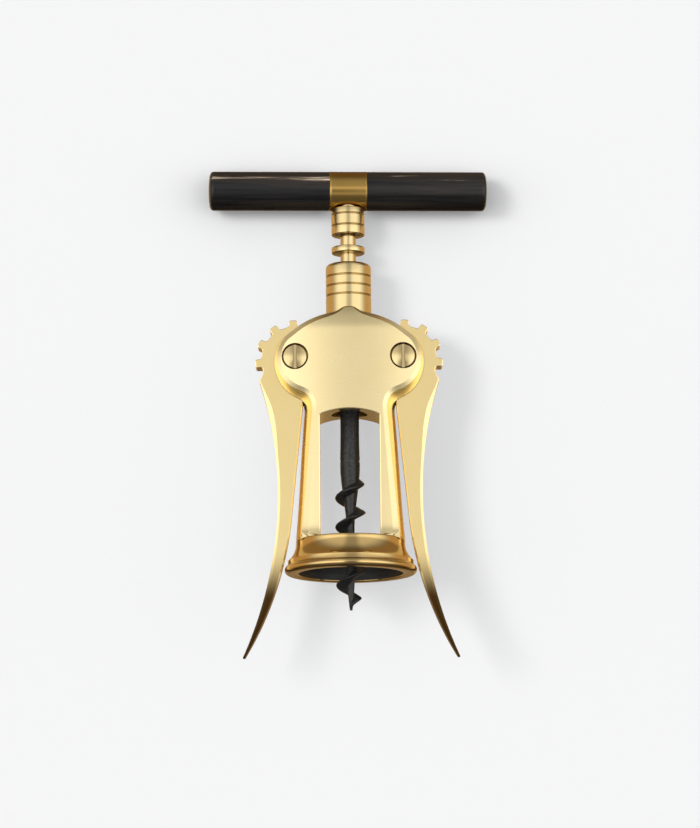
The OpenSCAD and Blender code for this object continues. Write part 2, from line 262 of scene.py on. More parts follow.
def brass(name, tint, deep, rough, grain, depth, where=UPRIGHT, painted_dark_end=None):
    """A brass finish. grain stretches the scratches: 1 across them and near 0 along them.
    The last argument gives two heights in mm: bright above the first, and painted brown below the second, as
    a painted dark reflection."""
    material, tree = new_material(name)
    place = place_in(tree, where)
    stretched = add(tree, "ShaderNodeMapping", {"Vector": place, "Scale": [g / SCRATCH for g in grain]})
    scratch = add(tree, "ShaderNodeTexNoise", {
        "Vector": stretched.outputs["Vector"], "Scale": 1.0, "Detail": 3.0, "Roughness": 0.6})
    haze = add(tree, "ShaderNodeTexNoise", {"Vector": place, "Scale": 1 / HAZE, "Detail": 3.0})
    tone = add(tree, "ShaderNodeMix", {0: haze.outputs["Fac"], 6: colour(deep), 7: colour(tint)},
               data_type="RGBA")
    both = add(tree, "ShaderNodeMath", {0: scratch.outputs["Fac"], 1: haze.outputs["Fac"]}, operation="ADD")
    gloss = add(tree, "ShaderNodeMapRange", {
        "Value": both.outputs["Value"], "From Min": 0.7, "From Max": 1.3, "To Min": rough[0],
        "To Max": rough[1]})
    # Painted shade: within about a millimetre of another surface the colour is mixed toward dark brown
    open_air = add(tree, "ShaderNodeAmbientOcclusion", {"Distance": CORNER}, samples=8)
    out_of_corners = add(tree, "ShaderNodeMapRange", {
        "Value": open_air.outputs["AO"], "From Min": 0.35, "From Max": 0.75})
    painted_shade_tone = add(tree, "ShaderNodeMix", {0: out_of_corners.outputs["Result"], 6: colour("#5A3A16"), 7: tone.outputs[2]},
               data_type="RGBA")
    # Painted dark reflection: below the second height the colour is mixed toward brown
    if painted_dark_end:
        height = add(tree, "ShaderNodeSeparateXYZ", {"Vector": place})
        bright = add(tree, "ShaderNodeMapRange", {
            "Value": height.outputs["Z"], "From Min": painted_dark_end[1] * MM, "From Max": painted_dark_end[0] * MM},
            interpolation_type="SMOOTHSTEP")
        painted_shade_tone = add(tree, "ShaderNodeMix", {
            0: bright.outputs["Result"], 6: colour("#4A3418"), 7: painted_shade_tone.outputs[2]}, data_type="RGBA")
    bump = add(tree, "ShaderNodeBump", {"Height": scratch.outputs["Fac"], "Distance": depth * MM})
    shader = add(tree, "ShaderNodeBsdfPrincipled", {
        "Base Color": painted_shade_tone.outputs[2], "Metallic": 1.0, "Roughness": gloss.outputs["Result"],
        "Normal": bump.outputs["Normal"]})
    add(tree, "ShaderNodeOutputMaterial", {"Surface": shader.outputs["BSDF"]})
    return material


# Cast and polished by hand: bright, with a haze and faint marks across the width
polished = brass("polished_cast_brass", "#FBE7B2", "#F7DFA4", (0.25, 0.28), (0.04, 0.04, 1), 0.0001)
# The levers are polished along their length, and their lower ends are painted brown, a painted dark
# reflection
lever_brass = brass("polished_lever_brass", "#FCE4A6", "#F8DA96", (0.24, 0.27), (1, 1, 0.03), 0.0001,
                    painted_dark_end=(9, -9))
# Turned on the lathe with the tool marks left in: rings round the axis. The handle's sleeve
# is turned round its own axis, and is a deeper gold
lathe_brass = brass("turned_satin_brass", "#DDC795", "#D1B880", (0.16, 0.24), (0.02, 0.02, 1), 0.0015)
bar_brass = brass("turned_satin_brass_sleeve", "#CBA55E", "#C09A52", (0.20, 0.25), (0.02, 0.02, 1), 0.0012,
                  where=BAR)
# The bell is turned and then polished
bell_brass = brass("turned_polished_brass", "#D2B47A", "#C6A568", (0.09, 0.14), (0.02, 0.02, 1), 0.0004)
print("brass finishes:", [m.name for m in bpy.data.materials if "brass" in m.name])

# %% [markdown]
# The worm and its shaft are steel, blackened in a hot salt bath. That leaves a thin dark
# oxide with a dull sheen, mottled where the grain of the steel shows through. The plain
# black parts are moulded nylon with a fine spark-eroded texture, and the small hidden
# parts are ground steel.

# %% Steel and nylon
def mottled(name, dark, light, metallic, rough, size, depth):
    """A finish that is speckled at one size in mm, from a dark to a light tone."""
    material, tree = new_material(name)
    place = add(tree, "ShaderNodeTexCoord").outputs["Object"]
    speckle = add(tree, "ShaderNodeTexNoise", {
        "Vector": place, "Scale": 1 / (size * MM), "Detail": 4.0, "Roughness": 0.65})
    tone = add(tree, "ShaderNodeValToRGB", {"Fac": speckle.outputs["Fac"]})
    tone.color_ramp.elements[0].position, tone.color_ramp.elements[0].color = 0.35, colour(dark)
    tone.color_ramp.elements[1].position, tone.color_ramp.elements[1].color = 0.72, colour(light)
    gloss = add(tree, "ShaderNodeMapRange", {
        "Value": speckle.outputs["Fac"], "From Min": 0.3, "From Max": 0.7, "To Min": rough[0],
        "To Max": rough[1]})
    bump = add(tree, "ShaderNodeBump", {"Height": speckle.outputs["Fac"], "Distance": depth * MM})
    shader = add(tree, "ShaderNodeBsdfPrincipled", {
        "Base Color": tone.outputs["Color"], "Metallic": metallic, "Roughness": gloss.outputs["Result"],
        "Normal": bump.outputs["Normal"]})
    add(tree, "ShaderNodeOutputMaterial", {"Surface": shader.outputs["BSDF"]})
    return material


# Oxide on steel: dark, with a dull metallic sheen
black_oxide = mottled("blackened_steel", "#2E2E2E", "#4A4A49", 0.7, (0.38, 0.50), 0.9, 0.03)
# Moulded nylon: a plastic that scatters a little light from its texture
nylon = mottled("moulded_black_nylon", "#141414", "#1F1F1F", 0.0, (0.42, 0.55), 0.4, 0.015)
# Ground steel: bright, with a fine even grain
ground_steel = mottled("ground_steel", "#A9ABAE", "#C2C3C4", 1.0, (0.25, 0.38), 0.3, 0.004)
print("dark finishes:", black_oxide.name, nylon.name)

# %% [markdown]
# Buffalo horn is keratin that grew in long layers. Polished, it is near black, with pale
# fibres that run along the bar and show only where the layers come to the surface. Noise
# that is stretched some 26 times along the bar gives the fibres. A mask keeps them to the
# side of the bar that has them and off its cut end, and the two bars differ, as two cuts of
# horn do. On the plain bar the grey band near the top is partly fibre and partly a painted
# highlight.

# %% Polished horn
# Pale streaks in horn are about a millimetre wide and some centimetres long
FIBRE_WIDE, FIBRE_LONG = 1.11 * MM, 29.4 * MM
PATCH_WIDE, PATCH_LONG = 7.7 * MM, 83.3 * MM
BAR_END = 50.0


def horn(name, pale, amount, side):
    """Dark horn. amount is how much pale fibre shows, and side is its height on the bar in mm."""
    material, tree = new_material(name)
    place = place_in(tree, BAR)
    layers = add(tree, "ShaderNodeMapping", {
        "Vector": place, "Scale": (1 / FIBRE_WIDE, 1 / FIBRE_WIDE, 1 / FIBRE_LONG)})
    fibre = add(tree, "ShaderNodeTexNoise", {
        "Vector": layers.outputs["Vector"], "Scale": 1.0, "Detail": 5.0, "Roughness": 0.62,
        "Distortion": 0.5}).outputs["Fac"]
    broad = add(tree, "ShaderNodeMapping", {
        "Vector": place, "Scale": (1 / PATCH_WIDE, 1 / PATCH_WIDE, 1 / PATCH_LONG)})
    patch = add(tree, "ShaderNodeTexNoise", {
        "Vector": broad.outputs["Vector"], "Scale": 1.0, "Detail": 2.0}).outputs["Fac"]
    parts = add(tree, "ShaderNodeSeparateXYZ", {"Vector": place})
    away = add(tree, "ShaderNodeMath", {0: parts.outputs["X"], 1: side * MM}, operation="SUBTRACT")
    off = add(tree, "ShaderNodeMath", {0: away.outputs["Value"]}, operation="ABSOLUTE")
    # The pale band's height on the bar; on the plain bar this band is partly a painted highlight
    near = add(tree, "ShaderNodeMapRange", {
        "Value": off.outputs["Value"], "From Min": 0.0, "From Max": 3.8 * MM, "To Min": amount,
        "To Max": -0.62})
    out = add(tree, "ShaderNodeMath", {0: parts.outputs["Z"]}, operation="ABSOLUTE")
    cut_end = add(tree, "ShaderNodeMapRange", {
        "Value": out.outputs["Value"], "From Min": (BAR_END - 1.4) * MM,
        "From Max": (BAR_END - 0.2) * MM, "To Min": 0.0, "To Max": -0.4})
    masked = add(tree, "ShaderNodeMath", {0: fibre, 1: patch}, operation="ADD")
    for mask in (near, cut_end):
        masked = add(tree, "ShaderNodeMath", {
            0: masked.outputs["Value"], 1: mask.outputs["Result"]}, operation="ADD")
    tone = add(tree, "ShaderNodeValToRGB", {"Fac": masked.outputs["Value"]})
    ramp = tone.color_ramp.elements
    ramp[0].position, ramp[0].color = 0.30, colour("#0F0E0E")
    ramp[1].position, ramp[1].color = 1.0, colour(pale)
    for at, text in ((0.50, "#1D1A18"), (0.80, "#2E2722"), (0.92, "#857463")):
        ramp.new(at).color = colour(text)
    gloss = add(tree, "ShaderNodeMapRange", {
        "Value": fibre, "From Min": 0.3, "From Max": 0.7, "To Min": 0.24, "To Max": 0.34})
    bump = add(tree, "ShaderNodeBump", {"Height": fibre, "Distance": 0.02 * MM})
    shader = add(tree, "ShaderNodeBsdfPrincipled", {
        "Base Color": tone.outputs["Color"], "Roughness": gloss.outputs["Result"], "IOR": 1.54,
        "Specular IOR Level": 0.35, "Normal": bump.outputs["Normal"]})
    add(tree, "ShaderNodeOutputMaterial", {"Surface": shader.outputs["BSDF"]})
    return material


# Horn with a pale streak near the top of the bar
streaked_horn = horn("streaked_buffalo_horn", "#E6D6BC", -0.02, 3.2)
# Horn that is nearly all dark, with a grey band near the top that is partly fibre and partly a painted
# highlight
plain_horn = horn("plain_buffalo_horn", "#8A7A68", -0.26, 5.8)
print("horn finishes:", streaked_horn.name, plain_horn.name)

# %% [markdown]
# The head and the legs are one casting, a thick plate with a window. Seen from the front
# it has two round lobes over the pivots, a dome between them and a concave throat that
# runs into the legs. Half of that edge is four strokes: three arcs and a nearly straight
# leg. They are walked in equal steps, eased where they meet, and mirrored. A small rounded
# peak is added at the top, where the dome runs up the neck.

# %% The edge of the head and legs
FOOT, WINDOW_X, ARCH_TOP, ARCH_R = 11.6, 10.6, 57.8, 28.6
PEAK_HIGH, PEAK_HALF = 2.0, 3.3


def even(path, step):
    """The same line in equal steps."""
    path = np.array(path, float)
    far = np.concatenate([[0], np.cumsum(np.linalg.norm(np.diff(path, axis=0), axis=1))])
    at = np.linspace(0, far[-1], max(2, int(round(far[-1] / step)) + 1))
    return np.column_stack([np.interp(at, far, path[:, k]) for k in (0, 1)])


def eased(path, times):
    """Softens the corners of a line, and keeps its ends."""
    path = path.copy()
    for _ in range(times):
        path[1:-1] = (path[:-2] + 2 * path[1:-1] + path[2:]) / 4
    return path


leg_z = np.linspace(58.9, FOOT, 40)
half = arc((0, 61.9), 31.4, 90, 46.4, 40) + arc((13.5, 76.1), 12.2, 46.4, -72, 40)
half += arc((19.1, 58.9), 6.0, 108, 180, 14) + [(13.1 + 0.09 * (58.9 - z), z) for z in leg_z[1:]]
half = eased(even(half, 0.7), 6)
half[0, 0] = 0
half[:, 1] += PEAK_HIGH * np.exp(-(np.abs(half[:, 0]) / PEAK_HALF) ** 3) * (half[:, 1] > 88)
plate_edge = np.vstack([(half * (-1, 1))[::-1], half[1:]])
arch = [(x, ARCH_TOP - ARCH_R + math.sqrt(ARCH_R**2 - x * x)) for x in np.linspace(0, WINDOW_X, 12)]
inner = even(arch + [(WINDOW_X, z) for z in np.linspace(arch[-1][1], FOOT, 40)][1:], 1.0)
window_edge = np.vstack([inner[::-1], (inner * (-1, 1))[1:]])
OUTER = len(plate_edge)
casting_edge = np.vstack([plate_edge, window_edge])
print("the casting's edge has", len(casting_edge), "points, and is",
      round(2 * plate_edge[:, 0].max(), 1), "mm wide")

# %% [markdown]
# The plate is not flat. Its front is crowned like a shallow barrel, bends back at the top
# to meet the neck, and flares a little where a leg meets the bell. A chamfer runs round its
# edge and grows down the legs, and its flanks swell toward the middle. So the same edge is
# copied at several depths, each pushed out or in by a formula.

# %% Depth, chamfer and flank
def soft(a, b, v):
    """0 before a, 1 after b, and smooth between."""
    t = np.clip((np.asarray(v, float) - a) / (b - a), 0, 1)
    return t * t * (3 - 2 * t)


def face_depth(x, z):
    """How far in front of the middle plane the crowned face lies."""
    bend = np.clip((z - 87) / 8.5, 0, 1) ** 2 * 2.4
    return 10.6 - x * x / 332 - bend + 1.3 * np.exp(-(z - 12) / 1.1) * (z > 11)


def outward(path):
    """The outward direction at each point of a closed edge."""
    ahead = np.roll(path, -1, axis=0) - np.roll(path, 1, axis=0)
    side = np.column_stack([-ahead[:, 1], ahead[:, 0]])
    return side / np.linalg.norm(side, axis=1)[:, None]


def turned_limit(points):
    """Keeps the legs within the cone that they are turned to, with the bell."""
    cone = 16.35 + (56 - points[:, 2]) * 3.05 / 40
    reach = np.hypot(points[:, 0], points[:, 1])
    pull = np.where((points[:, 2] < 50) & (reach > cone), cone / np.maximum(reach, 1e-9), 1)
    points[:, 0] *= pull
    return points


direction = outward(casting_edge)
z_edge = casting_edge[:, 1]
is_outer = np.arange(len(casting_edge)) < OUTER
chamfer = np.where(is_outer, 1.45 + 0.016 * np.maximum(0, 60 - z_edge), 0.3)
chamfer *= 0.4 + 0.6 * np.where(z_edge > 85, soft(2, 9, np.abs(casting_edge[:, 0])), 1)
swell = np.where(is_outer, 1.3 + 1.5 * soft(74, 60, z_edge) - 0.8 * soft(58, 14, z_edge), 0)
edge_depth = face_depth(casting_edge[:, 0], z_edge) - 0.55 * chamfer
face = casting_edge - direction * chamfer[:, None]
front = [np.column_stack([face[:, 0], -face_depth(face[:, 0], face[:, 1]), face[:, 1]])]
for t in (1.0, 0.85, 0.7, 0.5, 0.25, 0.0):
    moved = casting_edge + direction * (swell * (1 - t * t))[:, None]
    front.append(turned_limit(np.column_stack([moved[:, 0], -edge_depth * t, moved[:, 1]])))
print("chamfer from", round(chamfer[is_outer].min(), 2), "to", round(chamfer[is_outer].max(), 2), "mm")

# %% [markdown]
# The rings of points are joined by bands of faces. The crowned front is filled with a
# Delaunay triangulation of the edge and a grid of points a little over a millimetre apart,
# so that the crown is a real surface and reflects like one. The back is its mirror.

# %% Filling the crowned faces
def filled(edge, step, depth_of):
    """Fills a closed edge on the X and Z axes with triangles, and grid points inside it."""
    low, high = edge.min(0), edge.max(0)
    gx, gz = np.meshgrid(np.arange(low[0], high[0], step), np.arange(low[1], high[1], step))
    spots = np.column_stack([gx.ravel() + step / 2 * (np.arange(gz.size) // gz.shape[1] % 2), gz.ravel()])
    ahead = np.roll(edge, -1, axis=0)
    inside = np.zeros(len(spots), bool)
    for a, b in zip(edge, ahead):
        crosses = (a[1] > spots[:, 1]) != (b[1] > spots[:, 1])
        meet = a[0] + (spots[:, 1] - a[1]) * (b[0] - a[0]) / (b[1] - a[1] if b[1] != a[1] else 1e-9)
        inside ^= crosses & (spots[:, 0] < meet)
    gap = np.min(np.linalg.norm(spots[:, None] - edge[None], axis=2), axis=1)
    spots = spots[inside & (gap > 0.55 * step)]
    ring = [Vector(p) for p in edge]
    result = delaunay_2d_cdt(ring + [Vector(p) for p in spots], [], [list(range(len(ring)))], 1, 1e-7)
    flat = np.array([tuple(v) for v in result[0]])
    points = np.column_stack([flat[:, 0], -depth_of(flat[:, 0], flat[:, 1]), flat[:, 1]])
    return points, [list(f) for f in result[2]]


def plate(rings, step, depth_of):
    """A solid from rings of points, from the front edge to the middle plane, and its mirror."""
    rings = rings + [r * (1, -1, 1) for r in rings[-2::-1]]
    n = len(rings[0])
    points = np.vstack(rings)
    faces = [(k * n + i, k * n + (i + 1) % n, (k + 1) * n + (i + 1) % n, (k + 1) * n + i)
             for k in range(len(rings) - 1) for i in range(n)]
    cap, triangles = filled(rings[0][:, [0, 2]], step, depth_of)
    for mirror in (1, -1):
        faces += [[len(points) + i for i in f] for f in triangles]
        points = np.vstack([points, cap * (1, mirror, 1)])
    return points, faces


body_points, body_faces = plate(front, 1.15, face_depth)
print("the uncut casting has", len(body_faces), "faces")

# %% [markdown]
# The casting is then cut as the machinist does it: a slot through the flanks for each
# lever, with a round end about the pivot, a bore for the rack, the way through for the
# cork, and a well for each screw head at the front and the back.

# %% Cutting the slots, bores and wells
SLOT, SLOT_R, SLOT_LOW = 3.9, 14.9, 29.3
SEAT, WELL_R, RACK_BORE, CORK_BORE = 7.3, 4.75, 6.4, 12.4
CLEAR_X, CLEAR_Y = 45, 22
slot_edge = [(21.4, SLOT_LOW), (CLEAR_X, SLOT_LOW), (CLEAR_X, PIVOT_Z), (PIVOT_X, PIVOT_Z),
             (14.0, 66.2), (16.1, 60.5)]
cutters = [upright_bore(RACK_BORE, 54, 120), upright_bore(CORK_BORE, 5, 55)]
for side in (-1, 1):
    blade = [(side * x, z) for x, z in slot_edge]
    cutters += [slab(blade[::side], -SLOT, SLOT), drill(side * PIVOT_X, PIVOT_Z, SLOT_R, -SLOT, SLOT)]
    for well in ((-CLEAR_Y, -SEAT), (SEAT, CLEAR_Y)):
        cutters.append(drill(side * PIVOT_X, PIVOT_Z, WELL_R, *well))
piece("head_and_legs", body_points, body_faces, UPRIGHT, "frame", polished, "polished_brass",
      ["frame_body"], sharp=20, cutters=cutters)

# %% [markdown]
# The neck is turned. Three shallow grooves ring it, and its upper corner is rounded. A black
# nylon bush stands inside its mouth and guides the rack.

# %% The neck
def groove(radius, z, deep=0.4, wide=0.42):
    """A shallow V groove with broken corners, in a profile that runs upward."""
    return [(radius, z - wide), (radius - 0.12, z - wide * 0.7), (radius - deep, z - 0.06),
            (radius - deep, z + 0.06), (radius - 0.12, z + wide * 0.7), (radius, z + wide)]


NECK_R, NECK_TOP, NECK_LOW, MOUTH_R = 8.1, 111.8, 90, 6.9
neck = [(RACK_BORE, NECK_LOW), (NECK_R, NECK_LOW)]
for z in (100.1, 103.6, 107.1):
    neck += groove(NECK_R, z)
neck += arc((NECK_R - 1.5, NECK_TOP - 1.5), 1.5, 0, 90)
neck += [(MOUTH_R + 0.05, NECK_TOP), (MOUTH_R, NECK_TOP - 0.1), (MOUTH_R, 101), (RACK_BORE, 101)]
piece("neck", *turned(neck, closed=True), UPRIGHT, "frame", lathe_brass, "turned_brass", ["frame_body"])

# %% [markdown]
# The bell is turned too: a straight band that the legs stand on, a cove that flares from it,
# and a thick bead round the open mouth. Inside are two steps, where the liner sits, and the
# web with the hole that the cork comes up through.

# %% The bell
bell = [(12.4, 10), (17.0, 10), (17.0, 7), (18.5, 7), (18.5, 0.5)] + arc((18.9, 0.4), 0.4, 180, 270, 4)
bell += arc((21.9, 1.5), 1.5, 270, 430, 18) + [(22.3, 3.15), (22.25, 3.5)]
bell += arc((27.7, 11.0), 8.4, 229, 180, 20) + arc((18.9, 11.6), 0.4, 0, 90, 4) + [(12.4, 12)]
piece("bell", *turned(bell, closed=True, steps=192), UPRIGHT, "frame", bell_brass, "turned_brass",
      ["frame_body"], sharp=28)

# %% [markdown]
# A black nylon liner stands in the bell to spare the bottle's lip. Its mouth is dished, with
# fine steps that centre bottles of different widths. A sweep of a stepped profile makes them.

# %% The bell's liner
liner = [(12.7, 9.9), (16.95, 9.9), (16.95, 6.9), (18.45, 6.9), (18.45, 0.5), (17.9, 0.4)]
for k in range(6):
    r = 17.7 - 0.34 * k
    liner += [(r, 0.45 + 0.30 * k), (r - 0.06, 0.75 + 0.30 * k), (r - 0.28, 0.72 + 0.30 * k)]
liner += [(15.7, 2.4), (15.7, 7.0), (15.2, 7.0)]
liner += [(15.2 - 0.42 * k, 7.0 + 0.25 * (k % 2)) for k in range(1, 6)] + [(12.7, 7.0)]
piece("bell_liner_ridged", *turned(liner, closed=True, steps=192), UPRIGHT, "frame", nylon,
      "black_nylon", ["bell_liner"], sharp=20)

# %% [markdown]
# A lever is a flat bar with a gear at its upper end. Each tooth has parallel flanks, rounded
# corners and a rounded root. The bar's outer edge is two long arcs and its inner edge a line
# and an arc, so the whole outline is walked once round: gear, shoulder, tip and heel.

# %% The edge of a lever
PITCH_STEP, TIP_Z = 31.0, -29.5
WAIST = (25.6, 28.6)


def tooth(turn):
    """The outline of one tooth, from its upper root to its lower root, round the pivot."""
    side = [(11.75, 2.35), (11.85, 1.95), (12.15, 1.62), (12.55, 1.5), (13.2, 1.5)]
    side += [(r, w) for w, r in arc((0.7, 13.4), 0.8, 0, 90, 5)[1:]]
    shape = side + [(r, -w) for r, w in side[::-1]]
    c, s = math.cos(math.radians(turn)), math.sin(math.radians(turn))
    return [(PIVOT_X + r * c - w * s, PIVOT_Z + r * s + w * c) for r, w in shape]


def outer_x(z, radius):
    """The outer edge at a height: an arc through the waist."""
    return WAIST[0] + radius - math.sqrt(radius**2 - (z - WAIST[1]) ** 2)


def inner_x(z):
    """The inner edge of the lower part at a height: one long arc."""
    return 142.1 - math.sqrt(122.0**2 - (z - 33.1) ** 2)


gear = [p for k in range(7) for p in tooth(180 - PITCH_STEP * k)]
outside = [(31.9, 69.3)] + [(outer_x(z, 134.6), z) for z in np.linspace(68.6, WAIST[1], 56)]
outside += [(outer_x(z, 140.0), z) for z in np.linspace(WAIST[1], TIP_Z, 60)[1:]]
inside = [(inner_x(z), z) for z in np.linspace(TIP_Z, 19.3, 50)]
inside += [tuple(p) for p in even([(20.9, 19.3), (16.6, 60.5)], 1.2)[1:]] + [(16.1, 62), (14.5, 66.2)]
lever_edge = np.array(gear + [(30.6, 72)] + outside + inside)
on_outside = np.isin(np.arange(len(lever_edge)), np.arange(len(outside)) + len(gear) + 1)
print("a lever's edge has", len(lever_edge), "points; its tip is", round(outside[-1][0] - inside[0][0], 2),
      "mm wide")

# %% [markdown]
# Along its outer edge a broad chamfer was ground, which starts at nothing at the shoulder,
# is widest below it and then narrows toward the tip. All other edges are only broken. The
# lower part of the bar thins toward the tip, front and back.

# %% The levers
lever_z = lever_edge[:, 1]
ground = 0.25 + 1.35 * soft(69.5, 58, lever_z) - 0.8 * soft(56, 40, lever_z)
chamfer = np.where(on_outside, ground, np.where(lever_z > 62, 0.22, 0.4))
chamfer *= 1 - 0.45 * soft(-10, -29, lever_z)


def lever_depth(_, z):
    """Half the bar's thickness at a height. It is the same across the bar's width."""
    return 3.4 - 1.45 * np.clip(-np.asarray(z, float) / 29.5, 0, 1) ** 2.2


def lever(side):
    """The points and faces of one lever: side is 1 for the right one and -1 for the left."""
    face = lever_edge - outward(lever_edge) * chamfer[:, None]
    flank = lever_depth(0, lever_z) - 0.5 * chamfer
    rings = [np.column_stack([face[:, 0], -lever_depth(0, face[:, 1]), face[:, 1]])]
    rings += [np.column_stack([lever_edge[:, 0], -depth, lever_z]) for depth in (flank, 0 * lever_z)]
    points, faces = plate(rings, 1.6, lever_depth)
    return points * (side, 1, 1), faces


for side, word in ((-1, "left"), (1, "right")):
    piece(f"lever_{word}_bar", *lever(side), UPRIGHT, f"lever_{word}", lever_brass, "polished_brass",
          [f"lever_{word}"], sharp=24, cutters=[drill(side * PIVOT_X, PIVOT_Z, 3.55, -9, 9)])

# %% [markdown]
# Each pivot is a screw from the front in a threaded barrel from the back. Both have the same
# low domed head with a sawn slot. The head is turned and the slot cut with a boolean.

# %% The pivot screws
HEAD_R, HEAD_H, DOME = 4.25, 2.1, 0.55
SAW_HALF, SAW_DEEP = 0.65, 0.9


def screw(side, front_side, stem_r, reach):
    """A slotted head on its stem. front_side is -1 for the front and 1 for the back."""
    dome = [(x, HEAD_H - DOME * (x / HEAD_R) ** 2) for x in np.linspace(0, HEAD_R - 0.2, 9)]
    profile = [(0, -reach), (stem_r, -reach), (stem_r, 0), (HEAD_R, 0), (HEAD_R, HEAD_H - 0.8)]
    points, faces = turned(profile + dome[::-1], steps=72)
    points = [(side * PIVOT_X + x, front_side * (SEAT + z), PIVOT_Z + y) for x, y, z in points]
    slot = [(side * PIVOT_X + dx, PIVOT_Z + dz) for dx, dz in
            ((-SAW_HALF, -5), (SAW_HALF, -5), (SAW_HALF, 5), (-SAW_HALF, 5))]
    ends = sorted((front_side * (SEAT + HEAD_H - SAW_DEEP), front_side * (SEAT + 5)))
    return points, faces, slab(slot, *ends)


for side, word in ((-1, "left"), (1, "right")):
    for front_side, kind, stem, reach in ((-1, "screw", 2.4, 13), (1, "barrel", 3.5, 11)):
        points, faces, slot = screw(side, front_side, stem, reach)
        piece(f"pivot_{kind}_{word}_head", points, faces, UPRIGHT, "frame", lathe_brass, "turned_brass",
              [f"pivot_{kind}_{word}"], sharp=26, cutters=[slot])

# %% [markdown]
# The rack is a brass sleeve with thick rings instead of cut teeth, so that it works at any
# turn of the spindle. The rings are spaced as the gear's teeth are along its pitch circle,
# which is what makes the levers and the rack move together.

# %% The rack
PITCH = 13.5 * math.radians(PITCH_STEP)
RING_R, RING_HALF, TUBE_R, BORE_R = 5.95, 1.1, 2.8, 2.05
RACK_LOW, RACK_TOP, CORNER_R = 64.6, 123.2, 0.3
rack = [(BORE_R, RACK_LOW), (TUBE_R, RACK_LOW)]
for k in range(-2, 6):
    z = PIVOT_Z + (k + 0.5) * PITCH
    low_corner = (RING_R - CORNER_R, z - RING_HALF + CORNER_R)
    high_corner = (RING_R - CORNER_R, z + RING_HALF - CORNER_R)
    rack += [(TUBE_R, z - RING_HALF)] + arc(low_corner, CORNER_R, 270, 360, 3)
    rack += arc(high_corner, CORNER_R, 0, 90, 3) + [(TUBE_R, z + RING_HALF)]
rack += [(TUBE_R, RACK_TOP), (BORE_R, RACK_TOP)]
piece("rack_rings", *turned(rack, closed=True), UPRIGHT, "rack", lathe_brass, "turned_brass",
      ["rack_sleeve"])
print("ring spacing", round(PITCH, 2), "mm")

# %% [markdown]
# The worm is one bar with its shaft. Below the plain part the bar tapers to a thin core, and
# a flight winds round it, right-handed, dying out upward and ending in a point below. Each
# ring of points is a section of it: a circle with one swelling, which turns as it goes down.

# %% The worm and its shaft
LEAD, CREST_Z, WORM_TIP = 10.4, 16.9, -12.8
SHAFT_R, CORE_R, FLIGHT, SPIGOT_R = 3.5, 1.45, 3.95, 2.0


def worm_section(z, steps=56):
    """One section of the worm, as points round the axis."""
    core = (CORE_R + (SHAFT_R - CORE_R) * soft(16, 39, z)) * (0.12 + 0.88 * math.sqrt(soft(-15, 1, z)))
    flight = FLIGHT * (1 - 0.3 * soft(18, 30, z)) * (1 - soft(29.5, 37.5, z)) * soft(WORM_TIP, -6.5, z)
    around = (np.arange(steps) / steps - 0.5) * 360
    crest = np.maximum(0, np.cos(np.radians(np.clip(around * 1.5, -90, 90)))) ** 1.25
    radius = np.maximum(0.1, core + flight * crest)
    turn = np.radians(180 + 360 * (z - CREST_Z) / LEAD + around)
    return np.column_stack([radius * np.cos(turn), radius * np.sin(turn), np.full(steps, z)])


heights = np.concatenate([np.linspace(WORM_TIP, 40, 265), [41, 62.9]])
sections = [worm_section(z) for z in heights]
shaft = sections[-1][:, :2]
sections += [np.column_stack([shaft * (r / SHAFT_R), np.full(len(shaft), z)]) for r, z in
             ((3.2, 63.2), (SPIGOT_R, 63.2), (SPIGOT_R, 63.9), (SPIGOT_R, 135.4))]
count = len(sections[0])
faces = [(k * count + i, k * count + (i + 1) % count, (k + 1) * count + (i + 1) % count, (k + 1) * count + i)
         for k in range(len(sections) - 1) for i in range(count)]
faces += [tuple(range(count)), tuple(range((len(sections) - 1) * count, len(sections) * count))]
piece("worm_and_shaft", np.vstack(sections), faces, SPINDLE, "spindle", black_oxide,
      "blackened_steel", ["worm", "spindle_shaft"], sharp=50)

# %% [markdown]
# The hub is turned from brass, with two grooves, a recess under it that the rack's sleeve
# turns in, and small rounded corners. It runs up into the sleeve that holds the two bars.

# %% The hub
HUB_R, HUB_Z = 5.95, 122.6
hub = [(BORE_R, HUB_Z + 1.3), (4.9, HUB_Z + 1.3), (4.9, HUB_Z + 0.2)]
hub += arc((5.1, HUB_Z + 0.2), 0.2, 180, 270, 3)
hub += arc((5.55, HUB_Z + 0.4), 0.4, 270, 360, 4)
for z in (125.9, 130.0):
    hub += groove(HUB_R, z, 0.42, 0.4)
hub += arc((HUB_R - 0.5, 131.9), 0.5, 0, 90, 4) + [(4.1, 132.5), (4.1, 136), (BORE_R, 136)]
piece("hub_turned", *turned(hub, closed=True), SPINDLE, "spindle", lathe_brass, "turned_brass", ["hub"])

# %% [markdown]
# The handle is a brass sleeve with a bar of horn in each end. All three are turned round the
# handle's own axis. The sleeve ends in a thin rolled lip, and the bars in a flat dome with a
# rounded edge.

